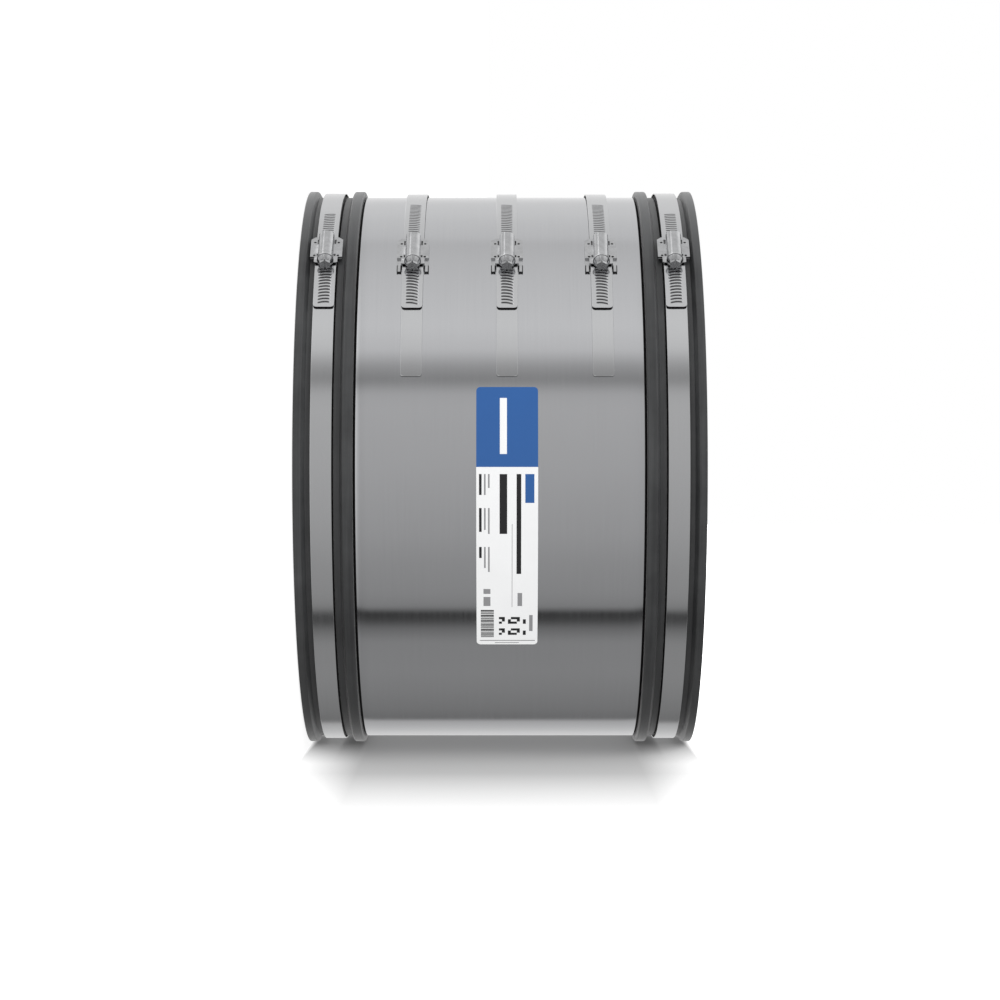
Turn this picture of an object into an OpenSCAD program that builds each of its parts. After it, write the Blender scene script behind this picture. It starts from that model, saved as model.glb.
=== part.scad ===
// Large pipe coupling: a ribbed rubber sleeve, a wide steel shear band round its
// middle that three worm-drive clamps draw together, and a full worm-drive clamp
// in the groove at each end.
// The bore runs along +Z, and the coupling stands on its lower end face at z = 0.
// Angles round the bore are measured from the front, which is -Y, towards -X.
// All lengths are in millimetres and all angles in degrees.

/* [Sleeve] */
// Inside diameter at the crests of the sealing ribs
bore_d = 411; // [300:1:600]
// Length of the sleeve from end face to end face
sleeve_l = 300; // [296:1:420]
// Rubber from the bore to the seat of the shear band
wall = 8.5; // [6:0.5:14]
// Height of the four rims above the seat of the shear band
rim_rise = 5.5; // [4:0.1:9]
// Height of the clamp groove's floor above the seat of the shear band
floor_rise = 0.7; // [0.3:0.1:1.2]
// Height of the raised clamp seat above the groove's floor
seat_rise = 1.4; // [0.6:0.1:1.8]
// Width of the outer rim at its crown
outer_rim_w = 4.9; // [3:0.1:5.5]
// Width of the outer rim at its foot
outer_rim_foot = 8.4; // [7.8:0.1:9]
// Width of the inner rim, from its sloped foot to its upright side
inner_rim_w = 9.2; // [7:0.1:11]
// Gap from the outer rim's foot to the band of the end clamp
outer_gap = 3.9; // [3.2:0.1:5]
// Gap from the band of the end clamp to the inner rim's foot
inner_gap = 5.9; // [4:0.1:8]
// Gap between the inner rim and the edge of the shear band
edge_gap = 1.8; // [0.8:0.1:4]
// Radius on the rims' corners
rim_round = 1.3; // [0.6:0.1:1.4]
// Chamfer at the mouth of the bore
mouth_chamfer = 1.5; // [0.5:0.1:3]
// Depth of the grooves between the sealing ribs
rib_depth = 1.5; // [0.5:0.1:2.5]
// Width of each groove at its mouth
rib_groove_w = 3.6; // [2.5:0.1:5]
// Distance from one sealing rib to the next
rib_pitch = 9; // [7:0.5:10]
// Number of grooves between the ribs at each end
rib_count = 6; // [2:1:7]
// Distance from the end face to the first groove
rib_start = 12; // [6:0.5:20]
// Depth of the smooth relief between the two ribbed zones
relief = 1; // [0.3:0.1:2]

/* [Shear band] */
// Thickness of the steel sheet
sheet_t = 0.8; // [0.5:0.1:1.2]
// Angle at which the outer end of the sheet lies, just behind the top
flap_end = 95; // [92:1:100]
// Angle over which the two ends of the sheet overlap
overlap = 40; // [34:1:60]
// Angle over which the sheet steps up on to its own inner end
joggle = 8; // [5:1:12]
// Air between the two layers of the overlap
overlap_gap = 0.1; // [0.05:0.05:0.3]

/* [Clamps] */
// Angle of the middle of each worm barrel above the front
clamp_at = 47.5; // [40:0.5:55]
// Distance between two centre clamps, as a share of the shear band's width
pitch_share = 0.334; // [0.25:0.001:0.36]
// Distance of the middle clamp from the middle of the sleeve
center_shift = 5.2; // [-8:0.1:8]
// Width of the bands and straps
band_w = 15.8; // [12:0.1:16]
// Thickness of the bands and straps
band_t = 0.8; // [0.6:0.1:1.1]
// Angle from the barrel to the tail of a grooved band
tail = 15; // [13:0.5:18]
// Angle from the barrel to the lower end of a plain strap
plain_reach = 29.8; // [20:0.1:30]
// Angle of weld between a grooved strap and the sheet
weld_reach = 24; // [15:1:28]
// Length of the grooves pressed across a band
groove_l = 8.4; // [6:0.1:10]
// Width of each groove
groove_w = 1.3; // [0.8:0.1:1.6]
// Depth of each groove
groove_depth = 0.45; // [0.2:0.05:0.5]
// Distance from one groove to the next
groove_pitch = 3; // [2.5:0.1:4]
// Angle that the grooves reach past the barrel on an end clamp
end_groove_reach = 15; // [10:0.5:20]
// Slant of the grooves on a centre clamp, which falls towards the upper end
center_groove_slant = 9; // [4:1:20]
// Angle that the grooves reach past the barrel on a centre clamp
center_groove_reach = 21.5; // [10:0.5:26]

/* [Housing] */
// Radius of the worm
worm_r = 4.9; // [4.2:0.1:5.2]
// Running clearance round the worm
worm_fit = 0.05; // [0.02:0.01:0.1]
// Height of the worm above the grooved band
worm_lift = 0.2; // [0.15:0.05:0.5]
// Length of the barrel behind the middle of the clamp
barrel_back = 11.4; // [9:0.2:14]
// Length of the barrel in front of the middle of the clamp
barrel_front = 14.6; // [12:0.2:17]
// Radius on the inside of the long edges of the barrel's roof
roof_round = 4.3; // [2:0.1:4.6]
// Thickness of the sheet that the shell is pressed from
shell_t = 0.7; // [0.5:0.05:0.9]
// Length of the flared mouth in front of the barrel
bell_l = 2.6; // [1.6:0.1:5]
// Widening of the mouth at its lip
bell_flare = 0.3; // [0.2:0.1:0.8]
// Width of each wing beside the shell
wing_side = 3.2; // [2:0.1:4]
// Length of the wings
wing_l = 24; // [20:0.1:28]
// Distance from the middle of the clamp back to the middle of the wings
wing_back = 4.3; // [2:0.1:7]
// Length by which the shoulders reach in front of the wings
front_l = 7.3; // [3:0.1:9]
// Length of the raised front of the shoulders
arch_l = 4.4; // [2:0.1:6]
// Height by which the front of the shoulders is raised off the band
arch_rise = 1.3; // [0.4:0.1:1.6]
// Thickness of the saddle plate
saddle_t = 0.8; // [0.6:0.1:1.2]
// Length of the two legs of a centre saddle in front of its wings
leg_l = 12.8; // [6:0.2:20]
// Width of each leg
leg_w = 3.4; // [2:0.1:4]
// Air between the shell and the grooved band
band_play = 0.12; // [0.1:0.02:0.3]
// Hexagon across the flats
hex_af = 7.5; // [7:0.5:8.5]
// Length of the hexagon outside the mouth
hex_l = 6.2; // [4:0.1:9]
// Width of the driver slot
slot_w = 1.3; // [0.8:0.1:1.8]
// Depth of the driver slot
slot_depth = 1.8; // [1:0.1:3]
// Radius of a spot weld's dimple
spot_r = 1; // [0.5:0.1:1.2]

/* [Label] */
// Width of the label along the bore
label_w = 44.8; // [30:0.1:60]
// Length of the label round the band
label_l = 200; // [120:1:220]
// Thickness of the label
label_t = 0.2; // [0.1:0.05:0.4]
// Radius of the label's corners
label_round = 3; // [1:0.5:6]
// Clear distance from the middle plain strap to the label
label_drop = 8; // [4:0.5:20]

/* [Hidden] */
$fn = 180;
turn = 360;
// Air between curved faces that lie on each other
lay = 0.05;
// What keeps two surfaces of one piece from touching along a line
hair = 0.02;
// Steps of a sloping stretch of band, in degrees
ramp_step = 1.5;
// Angle by which two stretches of one band run into each other
lap = 0.4;
// Step between a sloping stretch and the arcs that it runs into
ramp_inset = 0.03;
// Radius on the lower corners of a plain strap
strap_round = 2;
// Polar angle of the front
front_polar = 270;

bore_r = bore_d / 2;
sheet_seat_r = bore_r + wall;
floor_r = sheet_seat_r + floor_rise;
clamp_seat_r = floor_r + seat_rise;
rim_r = sheet_seat_r + rim_rise;

// Places along the bore, one after the other from the end face
end_inset = outer_rim_foot + outer_gap + band_w / 2;
inner_rim_foot = end_inset + band_w / 2 + inner_gap;
inner_rim_top = inner_rim_foot + inner_rim_w;
sheet_from = inner_rim_top + edge_gap;
sheet_w = sleeve_l - 2 * sheet_from;
center_pitch = pitch_share * sheet_w;
inner_slope_w = 1.2;
seat_slope = 0.5;
seat_half = band_w / 2 - seat_slope - 0.1;

sheet_in = sheet_seat_r + lay;
sheet_out = sheet_in + sheet_t;
flap_in = sheet_out + overlap_gap;
flap_out = flap_in + sheet_t;
tongue_end = flap_end + overlap;

middle_z = sleeve_l / 2 + center_shift;
lead = atan(groove_pitch / (2 * PI * worm_r));

// Radius of a band's plain layer: on the sheet, or on the sleeve's clamp seat
center_plain_in = sheet_out + lay;
end_plain_in = clamp_seat_r + lay;
// Rise from the plain layer to the grooved layer, over the saddle
saddle_rise = band_t + lay;
grooved_rise = saddle_rise + saddle_t + lay;
// Angles at which the grooved strap leaves the flap, and is clear of its end
flap_landing = flap_end + 11;
strap_lift_end = flap_end + 5;
// Angles between which the end band comes down to its seat behind the top
end_ramp_from = clamp_at + 13;
end_ramp_to = clamp_at + 78;
weld_r = flap_out + lay;
// Angle at which the plain layer ends, under the back of the saddle
plain_end = clamp_at + 4;

passage_half = band_w / 2 + band_play;
shell_half = passage_half + shell_t;
wing_w = 2 * (shell_half + wing_side);
barrel_r_in = worm_r + worm_fit;
barrel_r = barrel_r_in + shell_t;
bell_end = barrel_front + bell_l;
nose_r = 2.4;
nose_play = 0.3;
wing_corner = 3;
spot_depth = 0.3;
// Distances of the spot welds and slits from the back and front of the wings
spot_back = 6.8;
spot_front = 1.5;
slit_back = 5.7;
slit_front = 2.1;
slit_l = 5.4;
short_slit_l = 2.4;
slit_w = 1.1;
slit_gap = 0.25;
// Step from the barrel up to its flared mouth, and from its collar in to the mouth
bell_step = 0.4;
bell_root = 0.8;
collar_play = 0.15;
collar_cone_l = 3;
collar_cone_fall = 1;
lip_t = 0.3;
arch_side = 0.3;

lower_end_z = end_inset;
upper_end_z = sleeve_l - end_inset;
lower_center_z = middle_z - center_pitch;
upper_center_z = middle_z + center_pitch;

// Points of a round corner in a profile, from one angle to another
function corner(x, y, r, from, to, steps = 5) =
    [for (i = [0:steps]) let (a = from + (to - from) * i / steps)
        [x + r * cos(a), y + r * sin(a)]];

// The same profile seen from the other end of the sleeve
function from_other_end(points) =
    [for (i = [len(points) - 1:-1:0]) [points[i][0], sleeve_l - points[i][1]]];

function backwards(points) = [for (i = [len(points) - 1:-1:0]) points[i]];

// Outside of the sleeve from its end face to the seat of the shear band
function outside_half() = let (
        crown_r = rim_r - rim_round,
        outer_slope = atan2(rim_rise - floor_rise - rim_round / 2,
                            outer_rim_foot - outer_rim_w - rim_round),
        seat_from = end_inset - seat_half,
        seat_to = end_inset + seat_half,
        inner_from = inner_rim_foot + inner_slope_w + rim_round)
    concat(
        [[rim_r - 0.5, 0], [rim_r, 0.5]],
        corner(crown_r, outer_rim_w, rim_round, 0, 90 - outer_slope / 2),
        [[floor_r, outer_rim_foot],
         [floor_r, seat_from - seat_slope], [clamp_seat_r, seat_from],
         [clamp_seat_r, seat_to], [floor_r, seat_to + seat_slope],
         [floor_r, inner_rim_foot]],
        corner(crown_r, inner_from, rim_round, -74, 0),
        corner(crown_r, inner_rim_top - rim_round, rim_round, 0, 90),
        [[sheet_seat_r, inner_rim_top]]);

// Bore from its mouth through the ribbed zone to the smooth relief
function bore_half() = let (flank = rib_groove_w / 4)
    concat(
        [[bore_r + mouth_chamfer, 0], [bore_r, mouth_chamfer]],
        [for (i = [0:rib_count - 1], k = [0:3]) let (z = rib_start + i * rib_pitch)
            [bore_r + ((k == 1 || k == 2) ? rib_depth : 0), z + [0, 1, 3, 4][k] * flank]],
        [[bore_r, ribbed_zone()], [bore_r + relief, ribbed_zone() + 2 * relief]]);

function ribbed_zone() = rib_start + rib_count * rib_pitch;

module rubber_sleeve() {
    outside = outside_half();
    bore = bore_half();
    color("#2b2c2e") rotate_extrude()
        polygon(concat(outside, from_other_end(outside),
                       backwards(concat(bore, from_other_end(bore)))));
}

// Stretch of a band of constant radius, centred on z = 0
module arc(r_in, t, w, from, to) {
    rotate([0, 0, front_polar - to])
        rotate_extrude(angle = to - from)
            translate([r_in, -w / 2]) square([t, w]);
}

// Stretch of a band that changes smoothly from one radius to another, a hair
// thinner and narrower than the arcs that it runs into
module ramp(r_from, r_to, t, w, from, to) {
    steps = ceil((to - from) / ramp_step);
    path = [for (i = [0:steps]) let (s = i / steps)
        [r_from + ramp_inset + (r_to - r_from) * s * s * (3 - 2 * s),
         front_polar - from - (to - from) * s]];
    translate([0, 0, -w / 2 + ramp_inset]) linear_extrude(w - 2 * ramp_inset)
        polygon(concat(
            [for (p = path) p[0] * [cos(p[1]), sin(p[1])]],
            [for (p = backwards(path)) (p[0] + t - 2 * ramp_inset) * [cos(p[1]), sin(p[1])]]));
}

// One sheet, whose outer end lies over its inner end at the back of the top
module shear_band() {
    joggle_from = tongue_end + 2 - turn;
    color("#b9bcc0") translate([0, 0, sleeve_l / 2]) {
        arc(sheet_in, sheet_t, sheet_w, joggle_from + joggle - lap, tongue_end);
        ramp(flap_in, sheet_in, sheet_t, sheet_w, joggle_from, joggle_from + joggle);
        arc(flap_in, sheet_t, sheet_w, flap_end - turn, joggle_from + lap);
    }
}

// Panel wrapped round the bore, with a tool that points outwards rounding each
// corner, or only the two at its lower end
module wrapped_panel(r_in, t, w, from, to, round, ends = [-1, 1]) {
    round_angle = round / r_in * 180 / PI;
    difference() {
        arc(r_in, t, w, from, to);
        for (e = ends, s = [-1, 1])
            rotate([0, 0, front_polar - (e > 0 ? to - round_angle : from + round_angle)])
                translate([r_in - t, 0, s * (w / 2 - round)]) rotate([0, 90, 0])
                    linear_extrude(3 * t) corner_tool(round, -s, -e);
    }
}

// Outside of a round corner, between the corner's arc and a square beyond it.
// The arc is a hair wider than the corner, so that it crosses the panel's edges.
module corner_tool(round, side_x, side_y) {
    difference() {
        translate([side_x * (round + 1) / 2, side_y * (round + 1) / 2])
            square(round + 1, center = true);
        circle(r = round + hair);
    }
}

module label() {
    top = clamp_at - plain_reach - label_drop / sheet_out * 180 / PI;
    angle = label_l / sheet_out * 180 / PI;
    color("white") translate([0, 0, middle_z])
        wrapped_panel(sheet_out + lay, label_t, label_w, top - angle, top, label_round);
}

// Slanted grooves across a band, which the worm's thread runs in
module grooves(r_out, slant, from, to) {
    pitch_angle = groove_pitch / r_out * 180 / PI;
    for (a = [from:pitch_angle:to])
        rotate([0, 0, front_polar - a]) translate([r_out, 0, 0]) rotate([slant, 0, 0])
            cube([2 * groove_depth, groove_w, groove_l], center = true);
}

// Full band of an end clamp: its plain end lies under the saddle, goes round by
// the bottom and the back, and comes over the top as the grooved end
module end_band(z) {
    r = end_plain_in;
    color("#c9ccd0") translate([0, 0, z]) difference() {
        union() {
            arc(r, band_t, band_w, end_ramp_to - lap - turn, plain_end);
            ramp(r + grooved_rise, r, band_t, band_w, end_ramp_from, end_ramp_to);
            arc(r + grooved_rise, band_t, band_w, clamp_at - tail, end_ramp_from + lap);
        }
        grooves(r + grooved_rise + band_t, lead, clamp_at - tail + 1.2,
                clamp_at + end_groove_reach);
    }
}

// Strap welded to the outer end of the sheet, grooved where the worm draws it
module grooved_strap(z) {
    r = center_plain_in + grooved_rise;
    color("#c9ccd0") translate([0, 0, z]) difference() {
        union() {
            arc(r, band_t, band_w, clamp_at - tail, strap_lift_end + lap);
            ramp(r, weld_r, band_t, band_w, strap_lift_end, flap_landing);
            arc(weld_r, band_t, band_w, flap_landing - lap, flap_landing + weld_reach);
        }
        grooves(r + band_t, -center_groove_slant, clamp_at - tail + 1.2,
                clamp_at + center_groove_reach);
    }
}

// Strap welded to the inner end of the sheet, which carries the housing
module plain_strap(z) {
    color("#c9ccd0") translate([0, 0, z])
        wrapped_panel(center_plain_in, band_t, band_w, clamp_at - plain_reach,
                      plain_end, strap_round, [-1]);
}

// Places a clamp's own frame: x outwards, y towards the screw's head, z along the bore
module at_clamp(z) {
    rotate([0, 0, front_polar - clamp_at]) translate([0, 0, z]) children();
}

// Stretch of plate bent round the bore, in a clamp's own frame
module bent_plate(r_in, t, w, back, front) {
    angle_back = back / r_in * 180 / PI;
    angle_front = front / r_in * 180 / PI;
    rotate([0, 0, angle_back]) rotate_extrude(angle = angle_front - angle_back)
        translate([r_in, -w / 2]) square([t, w]);
}

// Round rod along the screw's axis, in a clamp's own frame
module rod(axis_r, r, back, front) {
    translate([axis_r, back, 0]) rotate([-90, 0, 0]) cylinder(r = r, h = front - back);
}

wing_from = -wing_back - wing_l / 2;
wing_to = -wing_back + wing_l / 2;

// Cuts the two rear corners off the wings
module wing_corners(r) {
    for (s = [-1, 1]) translate([r, wing_from, s * wing_w / 2]) rotate([90 - 45 * s, 0, 0])
        translate([0, 0, wing_w / 2 - wing_corner / sqrt(2)]) cube(wing_w, center = true);
}

// Dimples of the spot welds, two on each wing
module spot_welds(r) {
    for (y = [wing_from + spot_back, wing_to - spot_front], s = [-1, 1])
        translate([0, y, s * (barrel_r + wing_w / 2) / 2])
            rotate([0, 90, 0]) translate([0, 0, sqrt(r * r - y * y) - spot_depth])
                cylinder(r = spot_r, h = 3 * spot_depth);
}

// Slits that the press leaves at the foot of the barrel, a long and a short one
module slits(r) {
    for (place = [[wing_from + slit_back, slit_l], [wing_to - slit_front, short_slit_l]],
         s = [-1, 1])
        translate([r, place[0], s * (barrel_r + slit_gap + slit_w / 2)])
            cube([wing_w / 2, place[1], slit_w], center = true);
}

// Lower plate of the housing, which lies on the plain end of the band. On a centre
// clamp two legs of it reach forwards beside the strap.
module saddle(z, plain_r, legs = 0) {
    r = plain_r + saddle_rise;
    color("#c4c7cb") at_clamp(z) difference() {
        bent_plate(r, saddle_t, wing_w, wing_from, wing_to + legs);
        wing_corners(r);
        if (legs > 0) translate([r, wing_to + legs, 0])
            cube([wing_w, 2 * legs, wing_w - 2 * leg_w], center = true);
    }
}

// Barrel along the screw's axis: a flat roof with round long edges, over straight
// sides that go down past the foot
module barrel(axis_r, half, round, foot, back, front) {
    translate([axis_r, back, 0]) rotate([-90, 0, 0]) linear_extrude(front - back) {
        translate([-foot, -half]) square([foot + half - round, 2 * half]);
        translate([half - round - 1, round - half]) square([round + 1, 2 * (half - round)]);
        for (s = [-1, 1]) translate([half - round, s * (half - round)]) circle(r = round);
    }
}

// Half of the section of the flared mouth, turned round the screw's axis
module bell_section() {
    start = barrel_front;
    flare_from = start + bell_l / 2;
    inner = barrel_r_in + bell_step;
    outer = barrel_r + bell_step;
    polygon([[inner, start], [inner, flare_from], [outer + bell_flare - lip_t, bell_end],
             [outer + bell_flare, bell_end], [outer, flare_from], [outer, start],
             [barrel_r - 2 * lay, start - bell_root], [barrel_r_in, start - bell_root]]);
}

// Pressed shell: a plate over the band, whose wings are folded down on to the saddle,
// and a barrel with a short flared mouth round the worm
module housing(z, plain_r) {
    saddle_out = plain_r + saddle_rise + saddle_t;
    band_out = plain_r + grooved_rise + band_t;
    shoulder_r = band_out + band_play;
    axis_r = band_out + worm_lift + worm_r;
    foot = axis_r - shoulder_r + 2;
    front = wing_to + front_l;
    arch_from = front - arch_l;
    color("#d0d3d6") at_clamp(z) difference() {
        union() {
            difference() {
                union() {
                    bent_plate(saddle_out, shoulder_r + shell_t - saddle_out, wing_w,
                               wing_from, arch_from + shell_t);
                    bent_plate(saddle_out, shoulder_r + arch_rise + shell_t - saddle_out,
                               wing_w, arch_from, front);
                }
                wing_corners(saddle_out);
                for (s = [-1, 1])
                    translate([saddle_out, front, s * (shell_half + wing_side)])
                        cube([wing_w, 2 * front_l, 2 * wing_side], center = true);
            }
            barrel(axis_r, barrel_r, roof_round + shell_t, foot,
                   -barrel_back, barrel_front - lay);
            translate([axis_r, 0, 0]) rotate([-90, 0, 0]) rotate_extrude() bell_section();
        }
        // Way of the grooved band, and of all that lies under it
        translate([0, 0, -passage_half]) cylinder(r = shoulder_r, h = 2 * passage_half);
        bent_plate(shoulder_r - 1, arch_rise + 1, 2 * (passage_half - arch_side),
                   arch_from + shell_t, front + 2);
        // Inside of the barrel, open towards the band and at its mouth
        barrel(axis_r, barrel_r_in, roof_round, foot + 1, -barrel_back + shell_t,
               barrel_front - bell_root);
        rod(axis_r, barrel_r_in - hair, 0, barrel_front);
        rod(axis_r, barrel_r_in + bell_step - hair, barrel_front - 2 * lay, bell_end + 1);
        rod(axis_r, nose_r + nose_play, -barrel_back - 1, 0);
        slits(shoulder_r);
        spot_welds(shoulder_r + shell_t);
    }
}

// Worm with a nose at the back, a coned collar in the mouth and a slotted hexagon head
module screw(z, plain_r) {
    axis_r = plain_r + grooved_rise + band_t + worm_lift + worm_r;
    back = -barrel_back + shell_t + 0.2;
    collar_r = barrel_r_in + bell_step - collar_play;
    cone_from = barrel_front + 0.8;
    hex_to = bell_end + hex_l;
    color("#d8dadc") at_clamp(z) difference() {
        union() {
            rod(axis_r, worm_r, back, barrel_front - bell_root);
            rod(axis_r, nose_r, back - shell_t, back + 1);
            rod(axis_r, worm_r - 0.6, barrel_front - bell_root - 1, barrel_front + 1.2);
            rod(axis_r, collar_r, barrel_front + 0.1, cone_from);
            translate([axis_r, cone_from, 0]) rotate([-90, 0, 0])
                cylinder(r1 = collar_r, r2 = collar_r - collar_cone_fall, h = collar_cone_l);
            translate([axis_r, barrel_front + 1, 0]) rotate([-90, 0, 0])
                cylinder(d = hex_af / cos(30), h = hex_to - barrel_front - 1, $fn = 6);
        }
        translate([axis_r, hex_to, 0])
            cube([hex_af * 2, 2 * slot_depth, slot_w], center = true);
    }
}

rubber_sleeve();
shear_band();
label();

end_band(lower_end_z);  // lower_end_band
saddle(lower_end_z, end_plain_in);  // lower_end_saddle
housing(lower_end_z, end_plain_in);  // lower_end_housing
screw(lower_end_z, end_plain_in);  // lower_end_screw

end_band(upper_end_z);  // upper_end_band
saddle(upper_end_z, end_plain_in);  // upper_end_saddle
housing(upper_end_z, end_plain_in);  // upper_end_housing
screw(upper_end_z, end_plain_in);  // upper_end_screw

grooved_strap(lower_center_z);  // lower_center_grooved_strap
plain_strap(lower_center_z);  // lower_center_plain_strap
saddle(lower_center_z, center_plain_in, leg_l);  // lower_center_saddle
housing(lower_center_z, center_plain_in);  // lower_center_housing
screw(lower_center_z, center_plain_in);  // lower_center_screw

grooved_strap(middle_z);  // middle_center_grooved_strap
plain_strap(middle_z);  // middle_center_plain_strap
saddle(middle_z, center_plain_in, leg_l);  // middle_center_saddle
housing(middle_z, center_plain_in);  // middle_center_housing
screw(middle_z, center_plain_in);  // middle_center_screw

grooved_strap(upper_center_z);  // upper_center_grooved_strap
plain_strap(upper_center_z);  // upper_center_plain_strap
saddle(upper_center_z, center_plain_in, leg_l);  // upper_center_saddle
housing(upper_center_z, center_plain_in);  // upper_center_housing
screw(upper_center_z, center_plain_in);  // upper_center_screw
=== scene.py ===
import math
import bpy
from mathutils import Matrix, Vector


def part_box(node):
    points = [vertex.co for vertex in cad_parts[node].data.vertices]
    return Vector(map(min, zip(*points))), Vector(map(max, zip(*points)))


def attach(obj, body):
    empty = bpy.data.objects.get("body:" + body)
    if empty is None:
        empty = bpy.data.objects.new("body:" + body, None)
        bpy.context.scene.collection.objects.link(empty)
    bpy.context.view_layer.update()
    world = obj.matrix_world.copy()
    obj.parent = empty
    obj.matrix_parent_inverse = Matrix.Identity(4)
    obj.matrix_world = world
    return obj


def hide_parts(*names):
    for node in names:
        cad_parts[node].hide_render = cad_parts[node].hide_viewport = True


bl_info = {
    "name": "Wide pipe coupling",
    "version": (1, 0, 0),
    "blender": (4, 5, 0),
    "location": "3D View > Sidebar > Coupling",
    "description": "Rubber sleeve, steel shear band and worm-drive clamps round their CAD model",
    "category": "Object",
}

import bmesh
import bpy
import numpy as np
from bpy.props import FloatProperty, FloatVectorProperty, IntProperty
from mathutils import Matrix, Vector

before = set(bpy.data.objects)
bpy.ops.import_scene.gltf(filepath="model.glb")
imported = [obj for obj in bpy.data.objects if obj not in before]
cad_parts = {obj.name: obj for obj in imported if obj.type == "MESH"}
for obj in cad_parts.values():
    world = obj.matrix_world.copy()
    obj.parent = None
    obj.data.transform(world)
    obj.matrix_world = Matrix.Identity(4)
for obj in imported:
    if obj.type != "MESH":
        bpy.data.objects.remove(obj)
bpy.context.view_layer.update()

END_CLAMPS = ("lower_end", "upper_end")
CENTER_CLAMPS = ("lower_center", "middle_center", "upper_center")
CLAMPS = END_CLAMPS + CENTER_CLAMPS


def body_of_clamp(clamp):
    return clamp + "_clamp" if clamp in END_CLAMPS else "coupling"


def middle_of(node):
    low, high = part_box(node)
    return (low.z + high.z) / 2


def width_of(node):
    low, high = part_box(node)
    return high.z - low.z


def length(name, description, default, low=0.0, high=1.0):
    return FloatProperty(name=name, description=description, default=default, min=low,
                         max=high, subtype="DISTANCE", unit="LENGTH", precision=5)


def angle(name, description, degrees):
    return FloatProperty(name=name, description=description, default=math.radians(degrees),
                         subtype="ANGLE", unit="ROTATION")


def colour(name, description, default):
    return FloatVectorProperty(name=name, description=description, default=default,
                               min=0.0, max=1.0, size=3, subtype="COLOR")


def share(name, description, default, high=1.0):
    return FloatProperty(name=name, description=description, default=default, min=0.0,
                         max=high, subtype="FACTOR")


class SleeveSettings(bpy.types.PropertyGroup):
    bore_radius: length("Bore radius", "Radius at the crests of the sealing ribs", 0.2055)
    seat_radius: length("Sheet seat", "Radius under the shear band", 0.214)
    floor_radius: length("Groove floor", "Radius of the clamp groove's floor", 0.2147)
    clamp_seat: length("Clamp seat", "Radius of the raised seat under the end clamp", 0.2161)
    rim_radius: length("Rim radius", "Radius over the four rims", 0.2195)
    rim_round: length("Rim rounding", "Radius on the rims' corners", 0.0013)
    outer_crown: length("Outer rim crown", "Where the outer rim's crown ends", 0.0049)
    outer_foot: length("Outer rim foot", "Where the outer rim's slope ends", 0.0084)
    seat_from: length("Seat start", "Where the clamp seat starts", 0.0129)
    seat_to: length("Seat end", "Where the clamp seat ends", 0.0275)
    inner_foot: length("Inner rim foot", "Where the inner rim starts", 0.0340)
    inner_top: length("Inner rim top", "Where the inner rim ends", 0.0432)
    gap_depth: length("Gap depth", "Depth of the gaps beside the bands and the sheet", 0.0012)
    gap_width: length("Gap width", "Reach of the gap beside the clamp seat", 0.0016)
    rib_start: length("First groove", "Distance from the end face to the first groove", 0.012)
    rib_pitch: length("Rib pitch", "Distance from one sealing rib to the next", 0.009)
    rib_groove: length("Rib groove", "Width of each groove at its mouth", 0.0036)
    rib_depth: length("Rib depth", "Depth of the grooves between the ribs", 0.0015)
    rib_count: IntProperty(name="Grooves", description="Grooves at each end", default=6, min=1)
    relief: length("Relief", "Depth of the smooth relief between the ribbed zones", 0.001)
    segments: IntProperty(name="Segments", description="Steps round the sleeve", default=480,
                          min=48)


class BandSettings(bpy.types.PropertyGroup):
    sheet_radius: length("Sheet radius", "Inside radius of the sheet's inner layer", 0.21405)
    flap_radius: length("Flap radius", "Inside radius of the sheet's outer layer", 0.21495)
    sheet_thickness: length("Sheet thickness", "Thickness of the steel sheet", 0.0008)
    band_thickness: length("Band thickness", "Thickness of bands and straps", 0.0008)
    tongue_end: angle("Tongue end", "Angle of the sheet's inner end", 135)
    flap_end: angle("Flap end", "Angle of the sheet's outer end", 95)
    joggle: angle("Joggle", "Angle over which the sheet steps up on to its own end", 8)
    plain_radius: length("Plain strap radius", "Inside radius of a plain strap", 0.2149)
    weld_radius: length("Weld radius", "Inside radius of a grooved strap where it is welded",
                        0.2158)
    strap_radius: length("Grooved strap radius", "Inside radius of a grooved strap", 0.2166)
    end_radius: length("End band radius", "Inside radius of an end band", 0.21615)
    end_raised: length("Raised end band", "Inside radius of an end band under the worm", 0.21785)
    clamp_at: angle("Clamp angle", "Angle of the worm barrels above the front", 47.5)
    tail: angle("Tail", "Angle from the barrel to the tail of a grooved band", 15)
    plain_reach: angle("Plain reach", "Angle from the barrel to a plain strap's lower end", 29.8)
    strap_round: length("Strap corners", "Radius on the lower corners of a plain strap", 0.002)
    tail_round: length("Tail corners", "Radius on the corners of a band's tail", 0.0025)
    plain_end: angle("Plain end", "Angle from the barrel to a plain strap's upper end", 4)
    edge_round: length("Edge rounding", "Radius on the edges of sheet and bands", 0.0003)
    groove_pitch: length("Groove pitch", "Distance from one groove to the next", 0.003)
    groove_width: length("Groove width", "Width of each groove at its mouth", 0.0021)
    groove_length: length("Groove length", "Length of the grooves across a band", 0.0083)
    groove_depth: length("Groove depth", "Depth of each groove", 0.00045)
    end_slant: angle("End groove slant", "Slant of the grooves on an end band", 5)
    center_slant: angle("Center groove slant", "Slant of the grooves on a strap", -8.2)
    end_sag: FloatProperty(name="End groove sag", description="Bend of an end band's grooves, "
                           "in metres over the square of metres", default=-38.0)
    center_sag: FloatProperty(name="Center groove sag", description="Bend of a strap's grooves",
                              default=-35.0)
    # Also sets how far the painted shade under the housing reaches
    covered: length("Covered length", "Half the length of a band that its housing covers",
                    0.0142)
    end_reach: angle("End groove reach", "Angle the grooves reach past the barrel", 15)
    center_reach: angle("Center groove reach", "Angle the grooves reach past the barrel", 21.5)


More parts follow.
